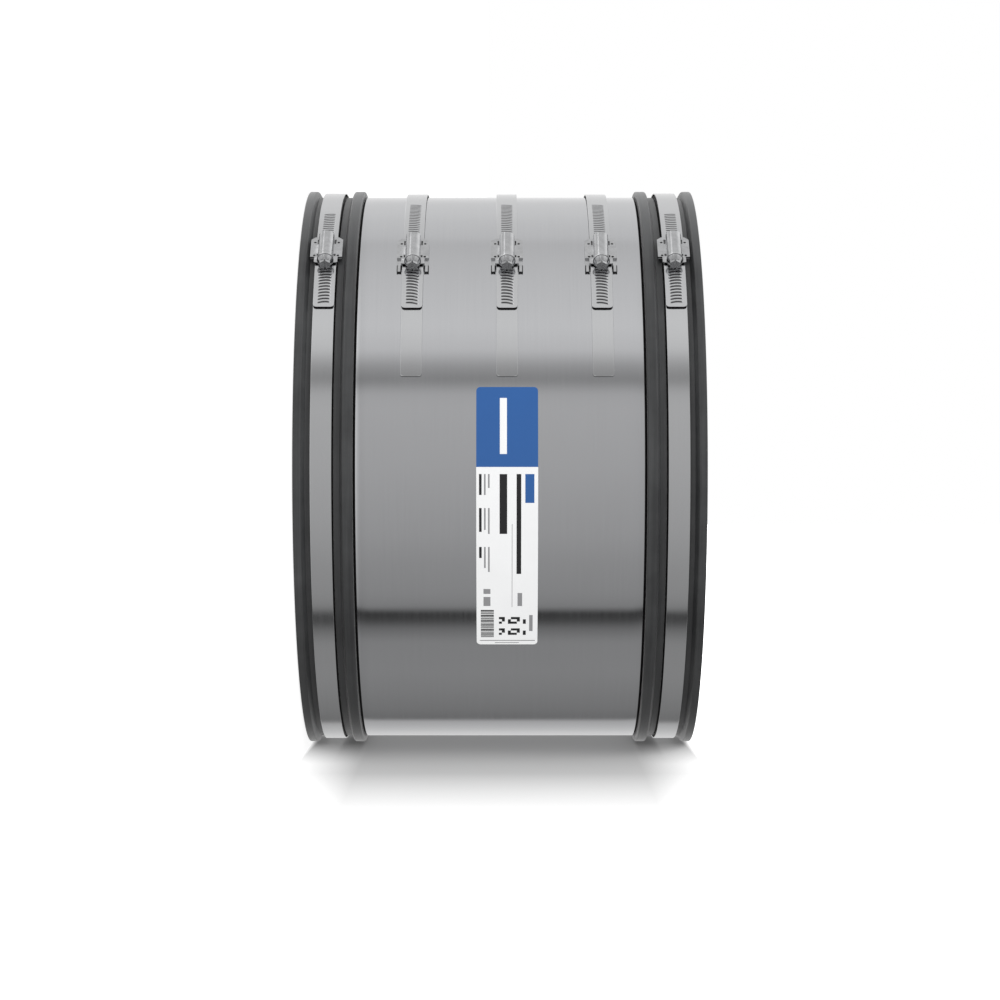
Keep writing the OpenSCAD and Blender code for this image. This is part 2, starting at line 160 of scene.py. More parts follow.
class HousingSettings(bpy.types.PropertyGroup):
    edge_round: length("Edge rounding", "Radius on the edges of the pressed shell", 0.00018)
    screw_round: length("Screw edge rounding", "Radius on the edges of the screw", 0.0002)
    head_length: length("Head length", "From the screw's end back to the cap's back", 0.0066)
    cap_length: length("Cap length", "Length of the coned cap behind the head", 0.0041)
    cap_inside: length("Cap inside", "Radius inside the cap, round the screw's neck", 0.003)
    cap_front: length("Cap front", "Radius of the cap at the head", 0.0042)
    cap_back: length("Cap back", "Radius of the cap at the housing's mouth", 0.0059)
    spot_back: length("Rear spots", "Distance of the rear spot welds behind the clamp's middle",
                      0.0095)
    spot_front: length("Front spots", "Distance of the front spot welds before the middle",
                       0.0062)
    spot_side: length("Spot distance", "Distance of the spot welds from the band's middle",
                      0.0088)
    spot_radius: length("Spot radius", "Radius of a spot weld's dimple", 0.001)
    leg_middle: length("Leg place", "Distance of a saddle's leg from the band's middle", 0.01022)
    leg_half: length("Leg half width", "Half the width of a saddle's leg", 0.0017)
    leg_from: length("Leg start", "Where the legs start before the clamp's middle", 0.0135)
    sharp: angle("Sharp edge", "Edges that turn more than this are rounded", 28)


class PrintSettings(bpy.types.PropertyGroup):
    radius: length("Label radius", "Inside radius of the label", 0.2149)
    thickness: length("Label thickness", "Thickness of the printed film", 0.0002)
    top: angle("Label top", "Angle of the label's upper edge above the front", 15.57)
    label_length: length("Label length", "Length of the label round the band", 0.2)
    corner: length("Label corners", "Radius of the label's corners", 0.003)
    film: colour("Film", "Colour of the unprinted film", (0.98, 0.985, 0.99))
    blue: colour("Blue", "Colour of the printed field", (0.019, 0.114, 0.37))
    ink: colour("Ink", "Colour of the dark print", (0.012, 0.012, 0.014))
    grey: colour("Grey", "Colour of the fine print", (0.30, 0.30, 0.31))


class FinishSettings(bpy.types.PropertyGroup):
    rubber: colour("Rubber", "Colour of the rubber", (0.0275, 0.0285, 0.030))
    bloom: colour("Bloom", "Colour of the pale bloom on the rubber", (0.069, 0.071, 0.073))
    # Painted shade colour for the gaps beside the bands and the sheet
    gap_shade: colour("Gap shade", "Colour of the gaps beside bands and sheet", (0.0012, 0.0012, 0.0013))
    sheet: colour("Sheet steel", "Colour of the shear band", (0.585, 0.59, 0.605))
    band: colour("Band steel", "Colour of bands and straps", (0.615, 0.62, 0.63))
    housing: colour("Housing steel", "Colour of the pressed housings", (0.62, 0.625, 0.635))
    screw: colour("Screw steel", "Colour of the screws", (0.56, 0.565, 0.575))
    sheet_roughness: share("Sheet roughness", "Roughness of the shear band", 0.10)
    band_roughness: share("Band roughness", "Roughness of bands and straps", 0.13)
    housing_roughness: share("Housing roughness", "Roughness of the housings", 0.2)


class StudioSettings(bpy.types.PropertyGroup):
    distance: length("Camera distance", "Distance from the bore's axis to the camera", 2.150,
                     0.5, 5.0)
    lens: FloatProperty(name="Focal length", description="Focal length on a 36 mm sensor",
                        default=96.34, min=10.0, max=300.0, subtype="DISTANCE_CAMERA",
                        unit="CAMERA")
    shift: FloatProperty(name="Shift", description="Shift of the picture down the sensor",
                         default=-0.0335)
    plain_light: FloatProperty(name="Plain light", description="Light from all round",
                               default=0.9, min=0.0)
    lamp_power: FloatProperty(name="Lamp power", description="Power of the soft lamp",
                              default=22.0, min=0.0, subtype="POWER", unit="POWER")
    floor_size: length("Floor size", "Side of the floor", 60.0, 1.0, 200.0)


def around(radius, at, z):
    """Points round the bore. At an angle measured from the front (-Y) towards -X, x is minus
    the radius times the sine of the angle and y is minus the radius times its cosine."""
    radius, at, z = np.broadcast_arrays(radius, at, z)
    return np.stack([-radius * np.sin(at), -radius * np.cos(at), z], axis=-1)


def smooth_step(x):
    """A step from 0 to 1 that starts and ends level: three x squared minus two x cubed."""
    x = np.clip(x, 0.0, 1.0)
    return x * x * (3 - 2 * x)


def arc_points(x, y, radius, start, end, steps=6):
    """Points of a round corner in a profile: its centre plus the radius times the cosine and
    the sine of an angle that goes from start to end, both in degrees."""
    a = np.radians(np.linspace(start, end, steps))
    return np.stack([x + radius * np.cos(a), y + radius * np.sin(a)], axis=1)


def grid_quads(rows, columns, wrap_rows=False, wrap_columns=False):
    """Four-cornered faces between neighbouring points of a grid, row after row."""
    i = np.arange(rows if wrap_rows else rows - 1)
    j = np.arange(columns if wrap_columns else columns - 1)
    i, j = np.meshgrid(i, j, indexing="ij")
    below, beside = (i + 1) % rows, (j + 1) % columns
    return np.stack([i * columns + j, below * columns + j, below * columns + beside,
                     i * columns + beside], axis=-1).reshape(-1, 4)


def corners_of(mesh):
    points = np.empty(3 * len(mesh.vertices))
    mesh.vertices.foreach_get("co", points)
    return points.reshape(-1, 3)


def keep_values(piece, word, values):
    """Keeps one number for each point of the mesh, which its material reads by that word."""
    kept = piece.data.attributes.new(word, "FLOAT", "POINT")
    kept.data.foreach_set("value", np.asarray(values, dtype=np.float32).ravel())


def new_piece(name, points, faces, materials, face_material=None, sharp=30.0):
    """A closed mesh from an array of points and a list of faces, with its faces turned
    outwards, smooth apart from the edges that turn more than the sharp angle."""
    mesh = bpy.data.meshes.new(name)
    mesh.from_pydata(np.asarray(points).reshape(-1, 3).tolist(), [], faces)
    for material in materials:
        mesh.materials.append(material)
    if face_material is not None:
        mesh.polygons.foreach_set("material_index", np.asarray(face_material, dtype=np.int32))
    work = bmesh.new()
    work.from_mesh(mesh)
    bmesh.ops.recalc_face_normals(work, faces=work.faces)
    work.to_mesh(mesh)
    work.free()
    mesh.shade_smooth()
    mesh.set_sharp_from_angle(angle=math.radians(sharp))
    mesh.update()
    piece = bpy.data.objects.new(name, mesh)
    bpy.context.scene.collection.objects.link(piece)
    return piece


def place(piece, body, slot, *nodes):
    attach(piece, body)
    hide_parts(*nodes)


def strip_section(half, thickness, edge, samples):
    """The outline of a strip across its width, for every station at once: over the outer
    face, round one edge, back over the inner face and round the other edge. A point on an
    edge is the edge's centre plus its radius times the cosine and sine of an angle."""
    half = np.asarray(half)[:, None]
    turn = np.radians([67.5, 45.0, 22.5, 0.0])
    core, low, high = half - edge, edge, thickness - edge
    outer = np.linspace(-1, 1, samples)[None, :]
    inner = np.linspace(1, -1, 5)[None, :]
    flat = np.ones_like(half)
    across = [core * outer,
              core + edge * np.cos(turn)[None, :], core + edge * np.cos(turn[-2::-1])[None, :],
              core * inner,
              -core - edge * np.cos(turn)[None, :], -core - edge * np.cos(turn[-2::-1])[None, :]]
    height = [flat * np.full(samples, thickness)[None, :],
              flat * (high + edge * np.sin(turn))[None, :],
              flat * (low - edge * np.sin(turn[-2::-1]))[None, :],
              flat * np.zeros(5)[None, :],
              flat * (low - edge * np.sin(turn))[None, :],
              flat * (high + edge * np.sin(turn[-2::-1]))[None, :]]
    return np.concatenate(across, axis=1), np.concatenate(height, axis=1)


def strip_stations(start, end, radius, step, fine=None, fine_step=None, corner=0.0,
                   edge=0.0002):
    """Angles along a strip. They lie closer where it is grooved, and at a round corner they
    follow a quarter circle, so that the corner's arc is evenly divided."""
    at = [np.linspace(start, end, max(8, int(abs(end - start) / step)))]
    if fine:
        at.append(np.linspace(fine[0], fine[1], int(abs(fine[1] - fine[0]) / fine_step)))
    reach = max(corner, edge)
    quarter = (1 - np.cos(np.radians(np.linspace(0, 90, 7)))) * reach / radius
    way = np.sign(end - start)
    at += [start + way * quarter, end - way * quarter]
    at = np.unique(np.round(np.concatenate(at), 6))
    return at if way > 0 else at[::-1]


def groove_dents(along, across, grooves):
    """Depth of the grooves: the groove's depth times a raised cosine of the distance from
    its middle line, which slants and sags across the band, and times a step at its ends."""
    line = along - across * math.tan(grooves["slant"]) - grooves["sag"] * across ** 2
    number = np.clip(np.round((line - grooves["from"]) / grooves["pitch"]), 0,
                     grooves["count"] - 1)
    off = (line - grooves["from"] - number * grooves["pitch"]) / (grooves["width"] / 2)
    hollow = 0.5 + 0.5 * np.cos(np.pi * np.clip(off, -1, 1))
    ends = smooth_step((grooves["length"] / 2 - np.abs(across)) / 0.0006 + 0.5)
    return grooves["depth"] * hollow * ends


def bent_strip(name, at, radius, z, width, thickness, edge, materials, samples=9,
               corners=(0.0, 0.0), grooves=None):
    """A strip bent round the bore: its section is carried along the angles, each point at
    the strip's own radius there plus its height in the section. Near a round corner the
    half width follows the corner's circle; a square end is drawn in by its edge's radius."""
    inner = radius(at)
    length_along = np.concatenate([[0.0], np.cumsum(np.abs(np.diff(at)) * inner[1:])])
    half = np.full(len(at), width / 2)
    draw_in = np.zeros(len(at))
    for far, corner in zip((length_along, length_along[-1] - length_along), corners):
        if corner:
            d = np.clip(far, 0, corner)
            half = np.minimum(half, width / 2 - corner + np.sqrt(corner ** 2 - (corner - d) ** 2))
        else:
            d = np.clip(far, 0, edge)
            draw_in = np.maximum(draw_in, edge - np.sqrt(edge ** 2 - (edge - d) ** 2))
    across, height = strip_section(half, thickness, edge, samples)
    across = across * (1 - draw_in / half)[:, None]
    height = thickness / 2 + (height - thickness / 2) * (1 - 1.8 * draw_in / thickness)[:, None]
    if grooves:
        way = np.broadcast_to((at * grooves["radius"])[:, None], across.shape)
        dents = groove_dents(way[:, :samples], across[:, :samples], grooves)
        height[:, :samples] -= dents
    points = around(inner[:, None] + height, at[:, None], z + across)
    rows, columns = across.shape
    faces = grid_quads(rows, columns, wrap_columns=True).tolist()
    faces.append(list(range(columns)))
    faces.append(list(range((rows - 1) * columns, rows * columns)))
    piece = new_piece(name, points, faces, materials)
    # Painted shade in the grooves, on the edges and inside, and where the housing covers the band
    hollow = np.ones(across.shape, dtype=np.float32)
    hollow[:, :samples + 2] = 0
    hollow[:, -2:] = 0
    if grooves:
        # Painted shade under the housing, seen through its slots and mouth
        covered = smooth_step((grooves["covered"] - np.abs(way - grooves["middle"])) / 0.0008)
        hollow[:, :samples] = np.maximum(dents / grooves["depth"], covered[:, :samples])
    keep_values(piece, "hollow", hollow)
    return piece


def put(tree, kind, inputs=None, **settings):
    """A new shader node with its settings; an input is given as a value or as a socket."""
    made = tree.nodes.new(kind)
    for key, value in settings.items():
        setattr(made, key, value)
    for key, value in (inputs or {}).items():
        if isinstance(value, bpy.types.NodeSocket):
            tree.links.new(value, made.inputs[key])
        else:
            made.inputs[key].default_value = value
    return made


def sums(tree, operation, first, second=0.0, third=0.0):
    return put(tree, "ShaderNodeMath", {0: first, 1: second, 2: third},
               operation=operation).outputs[0]


def new_group(name, inputs, outputs):
    tree = bpy.data.node_groups.new(name, "ShaderNodeTree")
    for label, kind, default in inputs:
        socket = tree.interface.new_socket(label, in_out="INPUT", socket_type=kind)
        socket.default_value = default
    for label, kind in outputs:
        tree.interface.new_socket(label, in_out="OUTPUT", socket_type=kind)
    return tree, tree.nodes.new("NodeGroupInput"), tree.nodes.new("NodeGroupOutput")


def rolling_lines_group():
    """Fine lines that run round the bore, as rolling or moulding leaves them: noise that is
    long round the bore and short along it. Puts out a value round 0.5."""
    name = "Rolling lines"
    if name in bpy.data.node_groups:
        return bpy.data.node_groups[name]
    tree, source, out = new_group(
        name, [("Lines per metre", "NodeSocketFloat", 700.0),
               ("Length factor", "NodeSocketFloat", 14.0)],
        [("Value", "NodeSocketFloat")])
    where = put(tree, "ShaderNodeTexCoord").outputs["Object"]
    split = put(tree, "ShaderNodeSeparateXYZ", {0: where})
    stretched = put(tree, "ShaderNodeCombineXYZ", {
        0: sums(tree, "MULTIPLY", split.outputs[0], source.outputs[1]),
        1: sums(tree, "MULTIPLY", split.outputs[1], source.outputs[1]),
        2: sums(tree, "MULTIPLY", split.outputs[2], source.outputs[0])})
    noise = put(tree, "ShaderNodeTexNoise", {"Vector": stretched.outputs[0], "Scale": 1.0,
                                             "Detail": 4.0, "Roughness": 0.65})
    tree.links.new(noise.outputs[0], out.inputs[0])
    return tree


def mottle_group():
    """Uneven patches in two sizes, for smudges on steel and bloom on rubber."""
    name = "Mottle"
    if name in bpy.data.node_groups:
        return bpy.data.node_groups[name]
    tree, source, out = new_group(
        name, [("Large scale", "NodeSocketFloat", 20.0), ("Fine scale", "NodeSocketFloat", 400.0)],
        [("Patches", "NodeSocketFloat"), ("Grain", "NodeSocketFloat")])
    where = put(tree, "ShaderNodeTexCoord").outputs["Object"]
    large = put(tree, "ShaderNodeTexNoise", {"Vector": where, "Scale": source.outputs[0],
                                             "Detail": 5.0, "Roughness": 0.6})
    fine = put(tree, "ShaderNodeTexNoise", {"Vector": where, "Scale": source.outputs[1],
                                            "Detail": 3.0, "Roughness": 0.7})
    tree.links.new(large.outputs[0], out.inputs[0])
    tree.links.new(fine.outputs[0], out.inputs[1])
    return tree


def group_in(tree, group, inputs=None):
    made = tree.nodes.new("ShaderNodeGroup")
    made.node_tree = group
    for key, value in (inputs or {}).items():
        made.inputs[key].default_value = value
    return made


def spread(tree, value, low, high, from_low=0.3, from_high=0.7):
    """Stretches a noise value, which lies mostly between 0.3 and 0.7, to a useful range."""
    return put(tree, "ShaderNodeMapRange", {0: value, 1: from_low, 2: from_high, 3: low,
                                            4: high}).outputs[0]


def two_colours(tree, factor, first, second):
    """A mix of two colours, each given as three numbers or as a socket."""
    first, second = (c if isinstance(c, bpy.types.NodeSocket) else (*c, 1.0)
                     for c in (first, second))
    return put(tree, "ShaderNodeMix", {0: factor, 6: first, 7: second},
               data_type="RGBA").outputs[2]


def new_material(name):
    material = bpy.data.materials.new(name)
    material.use_nodes = True
    tree = material.node_tree
    return material, tree, tree.nodes["Principled BSDF"]


def steel(name, base, roughness, lines, relief, patches=18.0, painted_shade=None):
    """Stainless steel: its colour and roughness vary with the rolling lines and with faint
    smudges, and the lines stand up by a few micrometres. A painted shade colour darkens the
    hollows, where the mesh has a hollow attribute."""
    if name in bpy.data.materials:
        return bpy.data.materials[name]
    material, tree, shader = new_material(name)
    rolled = group_in(tree, rolling_lines_group(), {"Lines per metre": lines})
    mottle = group_in(tree, mottle_group(), {"Large scale": patches, "Fine scale": 900.0})
    shade = sums(tree, "ADD", spread(tree, rolled.outputs[0], 0.0, 0.65),
                 spread(tree, mottle.outputs[0], 0.0, 0.35))
    darker = tuple(0.975 * c for c in base)
    lighter = tuple(min(1.0, 1.02 * c) for c in base)
    tint = two_colours(tree, shade, darker, lighter)
    if painted_shade:
        # Painted shade: the hollow attribute darkens the steel towards the shade colour
        hollow = put(tree, "ShaderNodeAttribute", attribute_name="hollow").outputs["Fac"]
        tint = two_colours(tree, spread(tree, hollow, 0.0, 1.0, 0.1, 0.65), tint, painted_shade)
    tree.links.new(tint, shader.inputs["Base Color"])
    rough = sums(tree, "ADD", spread(tree, rolled.outputs[0], -0.015, 0.02),
                 spread(tree, mottle.outputs[0], roughness - 0.012, roughness + 0.018))
    tree.links.new(rough, shader.inputs["Roughness"])
    shader.inputs["Metallic"].default_value = 1.0
    bump = put(tree, "ShaderNodeBump", {"Height": rolled.outputs[0], "Distance": relief})
    tree.links.new(bump.outputs[0], shader.inputs["Normal"])
    return material


def band_steel(finish):
    # The last colour is the painted shade of the grooves, edges, inside and covered part
    return steel("Rolled band", finish.band, finish.band_roughness, 1500.0, 0.0000010, 35.0,
                 tuple(0.14 * c for c in finish.band))


def pressed_steel(name, base, roughness):
    """Pressed or turned steel without rolling lines: a fine grain and darker smudges."""
    if name in bpy.data.materials:
        return bpy.data.materials[name]
    material, tree, shader = new_material(name)
    mottle = group_in(tree, mottle_group(), {"Large scale": 150.0, "Fine scale": 1800.0})
    darker = tuple(0.80 * c for c in base)
    tree.links.new(two_colours(tree, spread(tree, mottle.outputs[0], 0.0, 1.0), darker, base),
                   shader.inputs["Base Color"])
    rough = spread(tree, mottle.outputs[0], roughness + 0.06, roughness - 0.04)
    tree.links.new(rough, shader.inputs["Roughness"])
    shader.inputs["Metallic"].default_value = 1.0
    bump = put(tree, "ShaderNodeBump", {"Height": mottle.outputs[1], "Distance": 0.00003})
    tree.links.new(bump.outputs[0], shader.inputs["Normal"])
    return material


def rubber(finish):
    """Moulded rubber: nearly black, with a pale bloom in patches and along the moulding
    lines, and a fine grain. Painted shade darkens the +X side and the gaps, and a painted
    sheen pales the -X side."""
    material, tree, shader = new_material("Moulded rubber")
    rolled = group_in(tree, rolling_lines_group(), {"Lines per metre": 260.0,
                                                    "Length factor": 6.0})
    mottle = group_in(tree, mottle_group(), {"Large scale": 30.0, "Fine scale": 1500.0})
    pale = sums(tree, "ADD", spread(tree, rolled.outputs[0], -0.15, 0.55),
                spread(tree, mottle.outputs[0], -0.15, 0.35))
    hollow = put(tree, "ShaderNodeAttribute", attribute_name="hollow").outputs["Fac"]
    tint = two_colours(tree, pale, finish.rubber, finish.bloom)
    # Painted shade darkens the side towards +X, and a painted sheen pales the side towards -X
    side = put(tree, "ShaderNodeSeparateXYZ", {
        0: put(tree, "ShaderNodeTexCoord").outputs["Object"]}).outputs[0]
    tint = two_colours(tree, spread(tree, side, 0.0, 0.75, 0.08, 0.215), tint,
                       tuple(0.35 * c for c in finish.rubber))
    # Painted sheen: paler towards -X, from a brightened bloom colour
    tint = two_colours(tree, spread(tree, side, 0.8, 0.0, -0.216, -0.150), tint,
                       tuple(1.5 * c for c in finish.bloom))
    # Painted shade: the gaps beside the bands and the sheet turn near black
    tree.links.new(two_colours(tree, hollow, tint, finish.gap_shade), shader.inputs["Base Color"])
    tree.links.new(sums(tree, "MAXIMUM", hollow, sums(
        tree, "ADD", spread(tree, rolled.outputs[0], 0.0, 0.1),
        spread(tree, mottle.outputs[0], 0.34, 0.42))), shader.inputs["Roughness"])
    # Smooth moulded rubber mirrors the studio where it is seen at a grazing angle
    shader.inputs["Sheen Weight"].default_value = 0.35
    shader.inputs["Sheen Roughness"].default_value = 0.28
    shader.inputs["Specular IOR Level"].default_value = 0.6
    height = sums(tree, "ADD", rolled.outputs[0], mottle.outputs[1])
    bump = put(tree, "ShaderNodeBump", {"Height": height, "Distance": 0.00005})
    tree.links.new(bump.outputs[0], shader.inputs["Normal"])
    return material


def printed_film(name, base):
    """Coated paper film: a colour with a faint unevenness under a smooth coat."""
    if name in bpy.data.materials:
        return bpy.data.materials[name]
    material, tree, shader = new_material(name)
    mottle = group_in(tree, mottle_group(), {"Large scale": 40.0, "Fine scale": 1200.0})
    darker = tuple(0.965 * c for c in base)
    tree.links.new(two_colours(tree, spread(tree, mottle.outputs[0], 0.0, 1.0), darker, base),
                   shader.inputs["Base Color"])
    tree.links.new(spread(tree, mottle.outputs[1], 0.42, 0.5), shader.inputs["Roughness"])
    bump = put(tree, "ShaderNodeBump", {"Height": mottle.outputs[1], "Distance": 0.00001})
    tree.links.new(bump.outputs[0], shader.inputs["Normal"])
    return material


def outside_profile(s):
    """Radius and distance from the end face along the outside of the sleeve, from the end
    face to the seat of the shear band: straight runs joined by round corners."""
    crown = s.rim_radius - s.rim_round
    inner_from = s.inner_foot + 0.0012 + s.rim_round
    slope = math.degrees(math.atan2(s.rim_radius - s.floor_radius - s.rim_round / 2,
                                    s.outer_foot - s.outer_crown - s.rim_round))
    # The rim's corner lies a little inside the solid's, and its foot is filled
    return np.concatenate([
        arc_points(s.rim_radius - 0.0005, 0.0005, 0.0005, -90, 0),
        arc_points(crown, s.outer_crown, s.rim_round, 0, 90 - slope / 2),
        [[s.floor_radius + 0.0004, s.outer_foot - 0.00035],
         [s.floor_radius, s.outer_foot + 0.0001],
         [s.floor_radius, s.seat_from - 0.0006],
         [s.floor_radius + 0.0003, s.seat_from - 0.0003],
         [s.clamp_seat - 0.0002, s.seat_from - 0.0001], [s.clamp_seat, s.seat_from + 0.0002],
         [s.clamp_seat, s.seat_to - 0.0002], [s.clamp_seat - 0.0002, s.seat_to + 0.0001],
         [s.floor_radius - s.gap_depth, s.seat_to + 0.0003],
         [s.floor_radius - s.gap_depth, s.seat_to + s.gap_width],
         [s.floor_radius, s.seat_to + s.gap_width + 0.0002],
         [s.floor_radius, s.inner_foot - 0.0002], [s.floor_radius + 0.0003, s.inner_foot]],
        arc_points(crown, inner_from, s.rim_round, -74, 0),
        arc_points(crown, s.inner_top - s.rim_round, s.rim_round, 0, 90),
        [[s.seat_radius - s.gap_depth, s.inner_top + 0.0001],
         [s.seat_radius - s.gap_depth, s.inner_top + 0.0016],
         [s.seat_radius, s.inner_top + 0.0017]]])


def bore_profile(s):
    """Radius and distance from the end face along the bore: the chamfered mouth, then for
    every groove its two flanks and floor, then the step to the smooth relief."""
    mouth = 0.0015
    flank = s.rib_groove / 4
    steps = np.array([0.0, 1.0, 3.0, 4.0]) * flank
    depth = np.array([0.0, 1.0, 1.0, 0.0]) * s.rib_depth
    first = s.rib_start + s.rib_pitch * np.arange(s.rib_count)
    ribs = np.stack([np.tile(s.bore_radius + depth, s.rib_count),
                     (first[:, None] + steps[None, :]).ravel()], axis=1)
    zone = s.rib_start + s.rib_count * s.rib_pitch
    return np.concatenate([[[s.bore_radius + mouth, 0.0], [s.bore_radius, mouth]], ribs,
                           [[s.bore_radius, zone],
                            [s.bore_radius + s.relief, zone + 2 * s.relief]]])


class COUPLING_OT_sleeve(bpy.types.Operator):
    """Rubber sleeve with rims, clamp grooves and a ribbed bore"""
    bl_idname = "coupling.sleeve"
    bl_label = "Rubber sleeve"

    def execute(self, context):
        s = context.scene.coupling_sleeve
        low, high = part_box("rubber_sleeve")
        outside, bore = outside_profile(s), bore_profile(s)

        def other_end(profile):
            return np.stack([profile[::-1, 0], high.z - low.z - profile[::-1, 1]], axis=1)

        profile = np.concatenate([outside, other_end(outside), other_end(bore)[::-1],
                                  bore[::-1]])
        at = np.linspace(0, 2 * np.pi, s.segments, endpoint=False)
        points = around(profile[None, :, 0], at[:, None], low.z + profile[None, :, 1])
        faces = grid_quads(len(at), len(profile), True, True).tolist()
        piece = new_piece("rubber_sleeve_skin", points, faces,
                          [rubber(context.scene.coupling_finish)], sharp=38.0)
        # Painted shade in the gaps beside the bands and the sheet, which lie below the groove's
        # floor
        on_outside = np.zeros(len(profile), dtype=bool)
        on_outside[:2 * len(outside)] = True
        along = np.minimum(profile[:, 1], high.z - low.z - profile[:, 1])
        in_gap = on_outside & (profile[:, 0] < s.seat_radius - s.gap_depth / 2)
        in_gap |= on_outside & (along > s.seat_to) & (along < s.seat_to + s.gap_width + 0.0001)
        keep_values(piece, "hollow", np.tile(in_gap, len(at)))
        place(piece, "coupling", "rubber", "rubber_sleeve")
        return {"FINISHED"}


class COUPLING_OT_shear_band(bpy.types.Operator):
    """Steel sheet round the sleeve, whose outer end lies over its inner end"""
    bl_idname = "coupling.shear_band"
    bl_label = "Shear band"

    def execute(self, context):
        s, finish = context.scene.coupling_band, context.scene.coupling_finish
        full = 2 * math.pi
        joggle_from = s.tongue_end + math.radians(2) - full

        def radius(at):
            up = smooth_step((joggle_from + s.joggle - at) / s.joggle)
            return s.sheet_radius + (s.flap_radius - s.sheet_radius) * up

        at = strip_stations(s.tongue_end, s.flap_end - full, s.sheet_radius,
                            math.radians(0.75))
        skin = steel("Rolled sheet", finish.sheet, finish.sheet_roughness, 900.0, 0.0000012)
        piece = bent_strip("shear_band_skin", at, radius, middle_of("shear_band"),
                           width_of("shear_band"), s.sheet_thickness, s.edge_round, [skin],
                           samples=24)
        place(piece, "coupling", "sheet_steel", "shear_band")
        return {"FINISHED"}


def grooves_of(s, slant, sag, reach, radius):
    start = s.clamp_at - s.tail + math.radians(1.2)
    count = int((s.clamp_at + reach - start) * radius / s.groove_pitch) + 1
    return {"from": start * radius, "pitch": s.groove_pitch, "count": count,
            "width": s.groove_width, "length": s.groove_length, "depth": s.groove_depth,
            "slant": slant, "sag": sag, "radius": radius, "middle": s.clamp_at * radius,
            "covered": s.covered}


class COUPLING_OT_end_bands(bpy.types.Operator):
    """Full band of each end clamp, grooved where its worm draws it"""
    bl_idname = "coupling.end_bands"
    bl_label = "End bands"

    def execute(self, context):
        s, finish = context.scene.coupling_band, context.scene.coupling_finish
        full = 2 * math.pi
        skin = band_steel(finish)
        ramp_from = s.clamp_at + math.radians(13)
        ramp = math.radians(65)

        def radius(at):
            up = smooth_step((ramp_from + ramp - full - at) / ramp)
            return s.end_radius + (s.end_raised - s.end_radius) * up

        outer = s.end_raised + s.band_thickness
        grooves = grooves_of(s, s.end_slant, s.end_sag, s.end_reach, outer)
        grooves["from"] -= full * outer
        grooves["middle"] -= full * outer
        tail = s.clamp_at - s.tail - full
        at = strip_stations(s.clamp_at + s.plain_end, tail, s.end_radius, math.radians(0.75),
                            (s.clamp_at + s.end_reach + 0.02 - full, tail), 0.0003 / outer,
                            s.tail_round)
        for clamp in END_CLAMPS:
            node = clamp + "_band"
            piece = bent_strip(node + "_skin", at, radius, middle_of(node), width_of(node),
                               s.band_thickness, s.edge_round, [skin], 27,
                               (0.0, s.tail_round), grooves)
            place(piece, body_of_clamp(clamp), "band_steel", node)
        return {"FINISHED"}


class COUPLING_OT_straps(bpy.types.Operator):
    """Grooved and plain straps of the three centre clamps"""
    bl_idname = "coupling.straps"
    bl_label = "Centre straps"

    def execute(self, context):
        s, finish = context.scene.coupling_band, context.scene.coupling_finish
        skin = band_steel(finish)
        lift_from = s.flap_end + math.radians(5)
        lift = math.radians(6)

        def radius(at):
            down = smooth_step((at - lift_from) / lift)
            return s.strap_radius + (s.weld_radius - s.strap_radius) * down

        outer = s.strap_radius + s.band_thickness
        grooves = grooves_of(s, s.center_slant, s.center_sag, s.center_reach, outer)
        tail = s.clamp_at - s.tail
        grooved_at = strip_stations(tail, s.flap_end + math.radians(35), s.strap_radius,
                                    math.radians(0.75),
                                    (tail, s.clamp_at + s.center_reach + 0.02), 0.0003 / outer,
                                    s.tail_round)
        plain_at = strip_stations(s.clamp_at - s.plain_reach, s.clamp_at + s.plain_end,
                                  s.plain_radius, math.radians(0.5), corner=s.strap_round)
        for clamp in CENTER_CLAMPS:
            node = clamp + "_grooved_strap"
            piece = bent_strip(node + "_skin", grooved_at, radius, middle_of(node),
                               width_of(node), s.band_thickness, s.edge_round, [skin], 27,
                               (s.tail_round, 0.0), grooves)
            place(piece, "coupling", "band_steel", node)
            node = clamp + "_plain_strap"
            piece = bent_strip(node + "_skin", plain_at, lambda at: s.plain_radius + 0 * at,
                               middle_of(node), width_of(node), s.band_thickness,
                               s.edge_round, [skin], 9, (s.strap_round, 0.0))
            place(piece, "coupling", "band_steel", node)
        return {"FINISHED"}


def finished_copy(node, name, materials, edge, sharp):
    """A copy of a CAD node with its loose triangles merged and its flat faces joined, its
    long facets smooth, and its edges rounded."""
    work = bmesh.new()
    work.from_mesh(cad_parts[node].data)
    bmesh.ops.remove_doubles(work, verts=work.verts, dist=0.000002)
    bmesh.ops.dissolve_limit(work, angle_limit=math.radians(0.3), verts=work.verts,
                             edges=work.edges)
    mesh = bpy.data.meshes.new(name)
    work.to_mesh(mesh)
    work.free()
    for material in materials:
        mesh.materials.append(material)
    mesh.shade_smooth()
    mesh.set_sharp_from_angle(angle=sharp)
    piece = bpy.data.objects.new(name, mesh)
    bpy.context.scene.collection.objects.link(piece)
    if edge:
        bevel = piece.modifiers.new("Rounded edges", "BEVEL")
        bevel.width = edge
        bevel.segments = 2
        bevel.limit_method = "ANGLE"
        bevel.angle_limit = sharp
        bevel.use_clamp_overlap = True
    return piece


def keep_places(piece, clamp_at, z):
    """Keeps where each point lies in its clamp: its distance along the bore from the clamp's
    middle, and its place along the clamp, which is x times the cosine minus y times the
    sine of the clamp's angle."""
    points = corners_of(piece.data)
    keep_values(piece, "off_middle", points[:, 2] - z)
    keep_values(piece, "ahead", points[:, 0] * math.cos(clamp_at)
                - points[:, 1] * math.sin(clamp_at))


